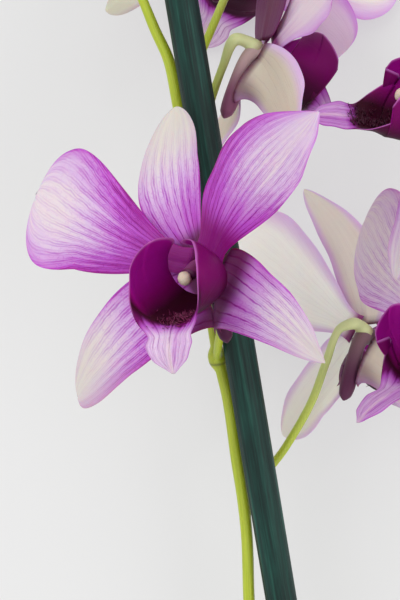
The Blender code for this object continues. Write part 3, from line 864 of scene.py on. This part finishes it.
def lip_tint(crest, flush):
    """The values of a lip's points. The middle lobe is pale beyond crest, and magenta by flush.
    How dark a point is, towards the keel and the throat, is partly its own colour and partly
    painted shade.
    """
    def tint(across, along):
        x = abs(across) * lobe_reach(along)
        light = rise(along, crest - 0.01, crest + 0.035)
        return dict(light=light,
                    dark=max(1 - rise(x, 3.5, 15.0), rise(along, 0.5, crest)),
                    rim=rise(abs(across), 0.95, 0.99) * (1 - light) * 0.7,
                    cream=0.3 * exp(-(x / 0.6) ** 2) * rise(along, 0.66, 0.8),
                    flush=max(flush, 1.15 - 1.15 * rise(along, crest - 0.02, crest + 0.16)))
    return tint


# %% [markdown]
# ## The column and its cap
# The column stands in the middle of the flower and bends a little over the lip. Behind the flower
# its foot runs back as the chin. It is flat below, where the stigma lies.

# %% Build a column

COLUMN_LENGTH, COLUMN_RADIUS, ANTHER_RADIUS, SEAT_GAP = 8.2, 2.0, 1.6, 0.35
COLUMN_SWELL = [CHIN_RADIUS * share for share in (0.65, 1.0, 1.0, 0.92)]
COLUMN_SWELL += [COLUMN_RADIUS * share for share in (1.0, 1.0, 1.0, 0.8)]
COLUMN_SIDES = 32


def column_line():
    down, back = -cos(CHIN_ANGLE), -sin(CHIN_ANGLE)
    chin = [(0.0, CHIN_LENGTH * share * down, CHIN_LENGTH * share * back - dip)
            for share, dip in ((1.0, 0.0), (0.8, 0.6), (0.45, 2.0), (0.18, 2.9))]
    return chin + [(0.0, -0.7, -2.6), (0.0, 0.0, 0.0), (0.0, -0.2, 0.45 * COLUMN_LENGTH),
                   (0.0, -1.8, COLUMN_LENGTH)]


def column(name, place, dark_chin, tan_chin):
    line = along_line([(*spot, radius) for spot, radius in zip(column_line(), COLUMN_SWELL)])
    length = line[-1][0]
    root = length - COLUMN_LENGTH

    def radius(row, turn):
        close = min(1.0, sqrt(max(row[0], 0.0) / 1.4 + 0.04))
        free = rise(row[3], 0.5, 3.0)
        below = max(0.0, -cos(turn))
        wing = 0.25 * exp(-((abs(sin(turn)) - 1) / 0.15) ** 2) * free
        return row[4] * close * (1 - 0.28 * free * below**2) + wing

    verts, faces, marks = rings(line, COLUMN_SIDES, radius)
    dark, tan = [], []
    for at, turn in marks:
        free = rise(at, root - 1.5, root + 2)
        # Darker below and towards the cap: painted shade.
        front = 0.15 + 0.75 * (0.5 - 0.5 * cos(turn)) + 0.4 * rise(at, length - 0.8, length)
        dark.append(min(1.0, dark_chin * (1 - free) + front * free))
        tan.append(tan_chin * (0.15 + 0.85 * rise(at / root, 0.25, 0.8)) * (1 - free))
    dress(f"{name}_column", verts, faces, {"dark": dark, "tan": tan}, COLUMN, place)


# %% Build an anther cap

CAP_FLATNESS, CAP_RINGS, CAP_SIDES = 0.8, 15, 28
FURROW, LUMPS = 0.07, 0.08


def anther_cap(name, place):
    """The cap: a ball a little flatter than round, with a furrow down its front."""
    line = column_line()
    onward = (Vector(line[-1]) - Vector(line[-2])).normalized()
    centre = Vector(line[-1]) + onward * (SEAT_GAP + CAP_FLATNESS * ANTHER_RADIUS)
    turned = onward.to_track_quat("Z", "Y").to_matrix()
    verts = []
    for i in range(CAP_RINGS):
        tilt = pi * (i + 1) / (CAP_RINGS + 1)
        for n in range(CAP_SIDES):
            turn = 2 * pi * n / CAP_SIDES
            furrow = 1 - FURROW * exp(-(sin(turn) / 0.18) ** 2) * sin(tilt)
            spot = Vector((sin(tilt) * cos(turn), sin(tilt) * sin(turn), CAP_FLATNESS * cos(tilt)))
            lump = 1 - LUMPS * (0.5 + noise.noise(spot * 2.2 + Vector((0.0, 0.0, len(name)))))
            verts.append(centre + turned @ (spot * ANTHER_RADIUS * furrow * lump))
    faces = belts(CAP_RINGS, CAP_SIDES, inward=True)
    for ring, end in ((0, CAP_FLATNESS), (CAP_RINGS - 1, -CAP_FLATNESS)):
        tip = centre + turned @ Vector((0.0, 0.0, end * ANTHER_RADIUS))
        lid(verts, faces, ring, CAP_SIDES, tip, flip=ring > 0)
    dress(f"{name}_anther_cap", verts, faces, {}, CAP, place)


# %% [markdown]
# The callus in the throat is covered with short fleshy hairs. Each is a slender cone that stands on
# the lip's inner face and leans out of the flower.

# %% Grow the hairs

HAIR_COUNT, HAIR_RADIUS = 220, 0.14


def hairs(name, place, lip, length, seed, crest, golden):
    draw = random.Random(seed)
    verts, faces, tips = [], [], []
    for _ in range(HAIR_COUNT):
        along = draw.uniform(0.36, crest + 0.05)
        across = max(-0.9, min(0.9, draw.gauss(0.0, 2.2) / lobe_reach(along)))
        root = lip_point(lip, across, along)
        run = (lip_point(lip, across, along + NUDGE) - root).normalized()
        side = (lip_point(lip, across + NUDGE, along) - root).normalized()
        out = run.cross(side).normalized()
        lean = (out + run * draw.uniform(0.1, 0.9) + side * draw.uniform(-0.5, 0.5)).normalized()
        reach = length * draw.uniform(0.5, 1.0)
        first = len(verts)
        for n in range(4):
            turn = pi / 2 * n
            verts.append(root + (run * cos(turn) + side * sin(turn)) * HAIR_RADIUS)
        verts.append(root + lean * reach)
        tips += [0.0, 0.0, 0.0, 0.0, draw.uniform(0.3, 1.0) * golden]
        faces.append((first, first + 1, first + 2, first + 3))
        faces += [(first + (n + 1) % 4, first + n, first + 4) for n in range(4)]
    link(f"{name}_throat_hairs", verts, faces, {"tip": tips}, HAIR, place)


# %% [markdown]
# ## A whole flower
# Five blades, the lip, the hairs, the column and the cap. Each piece but the hairs stands for the
# CAD node of its name.

# %% Build a flower

BLADE_GRID, LIP_GRID = (48, 36), (80, 64)


def flower(name, hub, forward, roll, forms, lip, tints, seed, dark_chin=0.9, hair_length=1.3,
           crest=0.56, flush=0.0, golden=1.0, tan_chin=0.0):
    place = flower_frame(hub, forward, roll)
    lip = {**LIP_FORM, **lip}
    for k, (part, form) in enumerate(forms.items()):
        kind = "petal" if part.startswith("petal") else "sepal"
        thin_body(f"{name}_{part}", lambda s, t, f=form: blade_point(f, s, t), place, *BLADE_GRID,
                  blade_relief(form, seed + k, WAVES[kind]), blade_tint(tints[part], form),
                  FINISHES[kind], kind)
    thin_body(f"{name}_lip", lambda s, t: lip_point(lip, s, t), place, *LIP_GRID, lip_relief,
              lip_tint(crest, flush), LIP, "lip", crowd_tip=False)
    column(name, place, dark_chin, tan_chin)
    anther_cap(name, place)
    hairs(name, place, lip, hair_length, seed, crest, golden)
    print("built", name)
    return place


# %% Build the six flowers

front = flower("flower_front", (1.1, 6.9, 70), facing(28, 0), 5, FRONT_FORMS,
               dict(reach=1.0, thrust=0.0, aside=-1.4), FRONT_BANDS, 1, hair_length=1.7, flush=0.12,
               golden=0.8)
upper = flower("flower_upper", (14.5, 56, 44), facing(-111, -8), 0,
               open_forms(dorsal_sepal=dict(width=18, swell=0.4, base=0.4),
                          petal_right=dict(angle=50, length=25, width=20, lean=20)),
               dict(reach=0.82, thrust=11.0, lift=10.0), UPPER_BANDS, 11, dark_chin=0.4,
               hair_length=2.2, crest=0.52, golden=0.2, tan_chin=0.9)
top = flower("flower_top", (12, 82, 17.5), facing(177, -8), 35,
             open_forms(20, petal_right=dict(lean=24),
                        lateral_sepal_left=dict(angle=190, length=30, width=20, depth=-1.4, lean=4,
                                                base=0.2, taper=0.4, inner=0.4, foot=0),
                        lateral_sepal_right=dict(angle=315, length=34, depth=-1.4, lean=4, base=0.2,
                                                 sway=-0.24, outer=0.4, foot=0)),
             {}, TOP_BANDS, 21)
middle = flower("flower_middle", (39.5, -8.5, 28), facing(-142, -11), 0,
                open_forms(4, dorsal_sepal=dict(angle=81, length=35, lean=4, curl=-40, sway=-0.3),
                           petal_right=dict(angle=28, depth=-2.0, lean=-4, curl=-24),
                           lateral_sepal_right=dict(angle=312, length=30, width=20, sway=0.0,
                                                    outer=0.5)),
                dict(lift=8.0), MIDDLE_BANDS, 31, dark_chin=0.8, tan_chin=0.3)
side_low = flower("flower_side_low", (53.5, -6, 66), facing(52, 0), 0,
                  open_forms(-10, lateral_sepal_left=dict(lean=-20, length=24)),
                  dict(reach=0.58, thrust=18.0, lift=2.5), LOW_BANDS, 41, hair_length=1.8, flush=0.4,
                  golden=0.3)
side_high = flower("flower_side_high", (52, 40.5, 66), facing(60, 32), -45,
                   open_forms(-10, lateral_sepal_left=dict(lean=-30, length=24)),
                   dict(reach=0.58, thrust=13.0, lift=2.5), BANDS, 51, hair_length=2.2, crest=0.66,
                   flush=0.5, golden=0.15)

# %% [markdown]
# ## Buds
# A bud is its sepals folded shut: a long drop with a short chin and three seams.

# %% Build the buds

BUD_LENGTH, BUD_RADIUS, BUD_SIDES = 21.0, 4.2, 40
BUD_LINE = ((0.0, -0.1, -0.26), (0.0, -0.076, -0.14), (0.0, 0.0, 0.05), (0.0, 0.02, 0.29),
            (0.0, 0.01, 0.52), (0.0, 0.0, 0.74))
BUD_SWELL = (0.24, 0.5, 0.84, 1.0, 0.72, 0.12)
SEAM_TURNS, SEAM_WIDTH, SEAM_DEPTH = (0.6, 2.6, 4.7), 0.09, 0.07


def bud(name, hub, forward, size):
    place = flower_frame(hub, Vector(forward).normalized(), 0)
    line = along_line([(*(Vector(spot) * BUD_LENGTH * size), BUD_RADIUS * size * share)
                       for spot, share in zip(BUD_LINE, BUD_SWELL)])
    length = line[-1][0]

    def seam(at, turn):
        nearest = min(abs((turn - seam_turn + pi) % (2 * pi) - pi) for seam_turn in SEAM_TURNS)
        return exp(-(nearest / SEAM_WIDTH) ** 2) * rise(at, 0.1 * length, 0.3 * length)

    def radius(row, turn):
        close = min(1.0, sqrt(row[0] / (0.06 * length) + 0.05))
        tip = min(1.0, sqrt(max(length - row[0], 0.0) / (0.05 * length) + 0.02))
        return row[4] * close * tip * (1 - SEAM_DEPTH * seam(row[0], turn))

    verts, faces, marks = rings(line, BUD_SIDES, radius)
    values = {"run": [at for at, _ in marks], "turn": [turn for _, turn in marks],
              "seam": [0.6 * seam(at, turn) for at, turn in marks],
              "flush": [rise(at, 0.1 * length, 1.1 * length) for at, _ in marks]}
    dress(name, verts, faces, values, BUD, place)
    return place @ Matrix.Scale(size, 4)


BUDS = (
    (bud("bud_rachis_left", (-34, 82, 58), (-0.9, 0.2, -0.3), 0.95), ((-16.5, 75, 58), (-21, 79, 59))),
    (bud("bud_rachis_right", (-22, 99, 69), (0.2, 0.7, 0.7), 0.85), ((-21.5, 85, 60.3), (-22, 88.5, 62.5))),
    (bud("bud_rachis_tip", (-30, 101, 60), (-0.6, 0.8, -0.1), 0.7), ((-23.5, 90.5, 61), (-25, 94, 61))),
    (bud("bud_branch_side", (88, 70, 53), (0.85, 0.5, -0.2), 0.9), ((76.8, 58, 56), (79, 63, 56))),
    (bud("bud_branch_tip", (80, 86, 57), (0.2, 0.95, 0.2), 0.7), ((77.8, 74, 56), (78.5, 78, 56))),
)
print("buds:", len(BUDS))

# %% [markdown]
# ## The stem
# Stalks grow out of a stem, so their joints are soft, not cut into each other. Every rod is laid
# down first, then a voxel remesh makes one skin round them all and a little smoothing softens it.
# The remesh loses every value, so each point of the new skin looks up the nearest point of the
# lines and takes its place and turn from there.

# %% Lay down the stem's lines

STEM_RADIUS, STEM_CUT_RADIUS, BRANCH_RADIUS = 1.4, 1.7, 1.2
PEDICEL_RADIUS, OVARY_RADIUS, NODE_RADIUS = 1.0, 1.4, 2.1
RACHIS = ((22, -171, 1.8), (17.5, -133, 9.5), (13, -95, 18.5), (11.5, -70, 24.3), (11, -56, 27.5),
          (10, -46.5, 29.7), (8.5, -37, 31.9), (6.5, -23, 35.2), (4.2, -13, 37.0), (2.5, -2.5, 39.5),
          (0.1, 13.5, 43.2), (-2.6, 30.5, 47.2), (-5.3, 46, 51), (-7, 53.5, 53), (-10, 60, 54.5),
          (-12.5, 66, 56), (-16.5, 75, 58), (-22, 86, 60.5), (-24, 92, 61))
BRANCH = ((14.2, -104.5, 16.3), (23.5, -93, 30.5), (42, -78.5, 37), (58, -59.5, 43), (67, -34, 48),
          (72, 0, 52), (75, 33.5, 55), (77, 60, 56), (78, 76, 56))
NODES = (((4, -13.2, 36.8), (-1.6, 10, 2.4), 1.0), ((10.6, -50.5, 28.2), (-1, 10, 2.1), 0.6),
         ((15, -103.5, 17), (-0.6, 10, 2.4), 1.0))
OVARY_END = ((0.0, 1.6, -7.6), (0.0, 1.7, -4.4), (0.0, 0.4, -1.8))
BUD_END = ((0.0, 3.4, -7.0), (0.0, 1.9, -2.2))
END_SWELL = (1.0, 1.05, 1.6)
FLOWER_STALKS = (
    (front, ((4.2, -13.5, 37), (4, -11.5, 41.5), (4.6, -6.5, 48.5), (5, 1, 55), (4.8, 7, 61))),
    (middle, ((10.6, -50.5, 28.8), (14.5, -42, 27), (20, -34.5, 26.5), (26, -24, 27), (29.5, -14, 30),
              (32, -7, 33))),
    (upper, ((-2.2, 30.3, 47), (-0.8, 35, 45.5), (1.2, 41, 43.5), (3, 47, 42.5), (5.2, 53, 43.3))),
    (top, ((-4.9, 45.7, 51.1), (-2, 51, 46.5), (1.5, 59, 42), (6, 70, 37), (10.5, 80, 30))),
    (side_low, ((67.4, -32, 48.3), (68.5, -20, 51), (66, -8, 58))),
    (side_high, ((74.3, 25, 54.5), (73, 28, 57), (69, 33, 61))),
)


def stalk_line(place, route, ends, thickness):
    """A stalk's points with their radii: as listed from the stem, then square onto what it carries."""
    spots = [place @ (Vector(end) * MM) / MM - ORIGIN for end in ends]
    points = [(*spot, PEDICEL_RADIUS) for spot in route]
    points += [(*spot, thickness * more) for spot, more in zip(spots, END_SWELL)]
    return along_line(points)


main_radii = [STEM_CUT_RADIUS] + [STEM_RADIUS] * 11 + [STEM_RADIUS * (1 - 0.07 * i) for i in range(7)]
stem_lines = [along_line([(*spot, radius) for spot, radius in zip(RACHIS, main_radii)]),
              along_line([(*spot, BRANCH_RADIUS) for spot in BRANCH])]
stem_lines += [stalk_line(place, route, OVARY_END, OVARY_RADIUS) for place, route in FLOWER_STALKS]
stem_lines += [stalk_line(place, route, BUD_END, PEDICEL_RADIUS) for place, route in BUDS]
FIRST_STALK, FIRST_BUD_STALK = 2, 2 + len(FLOWER_STALKS)
node_lines = []
for centre, heading, size in NODES:
    heading = Vector(heading).normalized()
    spots = [(*(Vector(centre) + heading * NODE_RADIUS * size * share), NODE_RADIUS * size * thick)
             for share, thick in ((-1.5, 0.5), (-0.5, 1.0), (0.5, 1.0), (1.5, 0.5))]
    node_lines.append(along_line(spots, 6))
print("lines on the stem:", len(stem_lines), "and nodes:", len(node_lines))

# %% Grow one skin round the lines

ROD_SIDES, VOXEL = 20, 0.3


def stem_skin():
    verts, faces = [], []
    for line in stem_lines + node_lines:
        some, their_faces, _ = rings(line, ROD_SIDES, lambda row, turn: row[4])
        faces += [tuple(v + len(verts) for v in face) for face in their_faces]
        verts += some
    rods = show("stem_rods", mesh_of("stem_rods", [(v + ORIGIN) * MM for v in verts], faces))
    remesh = rods.modifiers.new("Skin", "REMESH")
    remesh.mode = "VOXEL"
    remesh.voxel_size = VOXEL * MM
    soften = rods.modifiers.new("Soften", "SMOOTH")
    soften.factor = 0.5
    soften.iterations = 4
    bpy.context.view_layer.update()
    skin = bpy.data.meshes.new_from_object(rods.evaluated_get(bpy.context.evaluated_depsgraph_get()))
    bpy.data.objects.remove(rods)
    return [v.co.copy() for v in skin.vertices], [tuple(p.vertices) for p in skin.polygons]


# %% Mark the skin


def stem_values(verts):
    """The place along the nearest line, the turn round it, and the marks on the skin. The crease
    mark is painted shade in the fold at each node.
    """
    samples = []
    for number, line in enumerate(stem_lines):
        for k, row in enumerate(line):
            ahead = line[min(k + 1, len(line) - 1)]
            samples.append((number, row, Vector(row[1:4]), Vector(ahead[1:4]), line[-1][0]))
    tree = kdtree.KDTree(len(samples))
    for index, sample in enumerate(samples):
        tree.insert(sample[2], index)
    tree.balance()
    cut_end, cut_way = Vector(RACHIS[0]), (Vector(RACHIS[1]) - Vector(RACHIS[0])).normalized()
    values = {key: [] for key in ("run", "turn", "pale", "crease", "ring", "cut")}
    for vert in verts:
        spot = vert / MM - ORIGIN
        _, index, _ = tree.find(spot)
        number, row, on_line, ahead, length = samples[index]
        off = spot - on_line
        stalk = number >= FIRST_STALK
        values["run"].append(row[0] + off.dot((ahead - on_line).normalized()))
        values["turn"].append(atan2(off.z, off.x))
        values["pale"].append(rise(row[0] / length, 0.3, 1.0) * 0.8 if stalk else 0.0)
        # The crease mark darkens the fold just below each node's middle: painted shade.
        crease = 0.0
        for centre, heading, size in NODES:
            away = (spot - Vector(centre)).dot(Vector(heading).normalized())
            near = size**6 * exp(-((spot - Vector(centre)).length / 4.0) ** 4)
            crease = max(crease, near * exp(-((away + 1.2) / 0.35) ** 2))
        values["crease"].append(0.8 * crease)
        ring = 0.6 * exp(-((length - row[0] - 0.4) / 0.8) ** 2)
        values["ring"].append(ring if stalk and number < FIRST_BUD_STALK else 0.0)
        values["cut"].append(1.0 if number == 0 and (spot - cut_end).dot(cut_way) < 0.12 else 0.0)
    return values


stem_verts, stem_faces = stem_skin()
dress("stem", stem_verts, stem_faces, stem_values(stem_verts), STEM)
print("stem skin points:", len(stem_verts))

# %% [markdown]
# ## The stake
# A straight rod, cut square at both ends with a small chamfer. Its round is a little ribbed along
# the grain.

# %% Build the stake

CHAMFER = ((0.0, 0.86), (0.01, 0.9), (0.25, 0.96), (0.8, 1.0))
STAKE_SIDES, STAKE_STEPS, RIB_HEIGHT, RIB_ROOM = 72, 90, 0.05, 0.04


def stake():
    length = (STAKE_TOP - STAKE_FOOT).length
    heading = (STAKE_TOP - STAKE_FOOT).normalized()
    bevel = CHAMFER[-1][0]
    places = list(CHAMFER)
    places += [(bevel + (length - 2 * bevel) * k / STAKE_STEPS, 1.0) for k in range(1, STAKE_STEPS)]
    places += [(length - at, share) for at, share in CHAMFER[::-1]]
    line = [(at, *(STAKE_FOOT + heading * at), share) for at, share in places]

    def radius(row, turn):
        rib = RIB_HEIGHT * noise.noise(Vector((4 * cos(turn), 4 * sin(turn), row[0] / 40)))
        return (STAKE_RADIUS - RIB_ROOM + rib) * row[4]

    verts, faces, marks = rings(line, STAKE_SIDES, radius)
    values = {"run": [at for at, _ in marks], "turn": [turn for _, turn in marks],
              "cut": [0.0] * (len(verts) - 2) + [1.0, 1.0]}
    dress("stake", [(v + ORIGIN) * MM for v in verts], faces, values, STAKE)


stake()
print("stake in mm:", round((STAKE_TOP - STAKE_FOOT).length, 1))

# %% [markdown]
# ## The studio
# A plain pale floor, one wide soft light from above and to the left, a weaker one from the right,
# and an even sky. The floor is a light table that glows a little, which keeps the shadows faint
# and shines through the petals. The camera looks straight down.

# %% Set up the floor and lights

FLOOR, tree, shader = finish("floor", 0.9, Emission_Color=(1.0, 1.0, 1.0, 1.0), Emission_Strength=0.42,
                             Specular_IOR_Level=0.1)
wear(shader, ramp(clouds(tree, 6.0, 2.0), (0.0, paint(158, 158, 158)), (1.0, paint(160, 160, 160))))
floor = show("floor", mesh_of("floor", [(-2, -2, 0), (2, -2, 0), (2, 2, 0), (-2, 2, 0)], [(0, 1, 2, 3)]))
floor.data.materials.append(FLOOR)

LIGHT_SIZE, LIGHT_TARGET, SKY_STRENGTH = 1.6, Vector((0, 0, 0.05)), 0.84


def soft_light(name, power, spot):
    data = bpy.data.lights.new(name, "AREA")
    data.energy = power
    data.size = LIGHT_SIZE
    lamp = show(name, data)
    lamp.location = spot
    lamp.rotation_euler = (LIGHT_TARGET - Vector(spot)).to_track_quat("-Z", "Y").to_euler()


soft_light("key_light", 23.0, (-1.4, 1.0, 2.2))
soft_light("fill_light", 19.0, (1.8, -0.4, 1.8))
world = bpy.data.worlds.new("sky")
world.use_nodes = True
feed(world.node_tree.nodes["Background"], {"Color": (1.0, 1.0, 1.0, 1.0), "Strength": SKY_STRENGTH})
bpy.context.scene.world = world
bpy.context.scene.view_settings.view_transform = "Standard"
print("lights:", len(bpy.data.lights))

# %% Set up the camera

CAMERA_HEIGHT, FOCUS_HEIGHT, MM_PER_PIXEL = 566.0, 66.0, 0.217
PHOTO_HEIGHT, SENSOR = 600, 36.0
camera_data = bpy.data.cameras.new("camera")
camera_data.sensor_width = SENSOR
camera_data.lens = SENSOR * (CAMERA_HEIGHT - FOCUS_HEIGHT) / (PHOTO_HEIGHT * MM_PER_PIXEL)
camera = show("camera", camera_data)
camera.location = (Vector((0.0, 0.0, CAMERA_HEIGHT)) + ORIGIN) * MM
bpy.context.scene.camera = camera
print("lens:", round(camera_data.lens, 1))
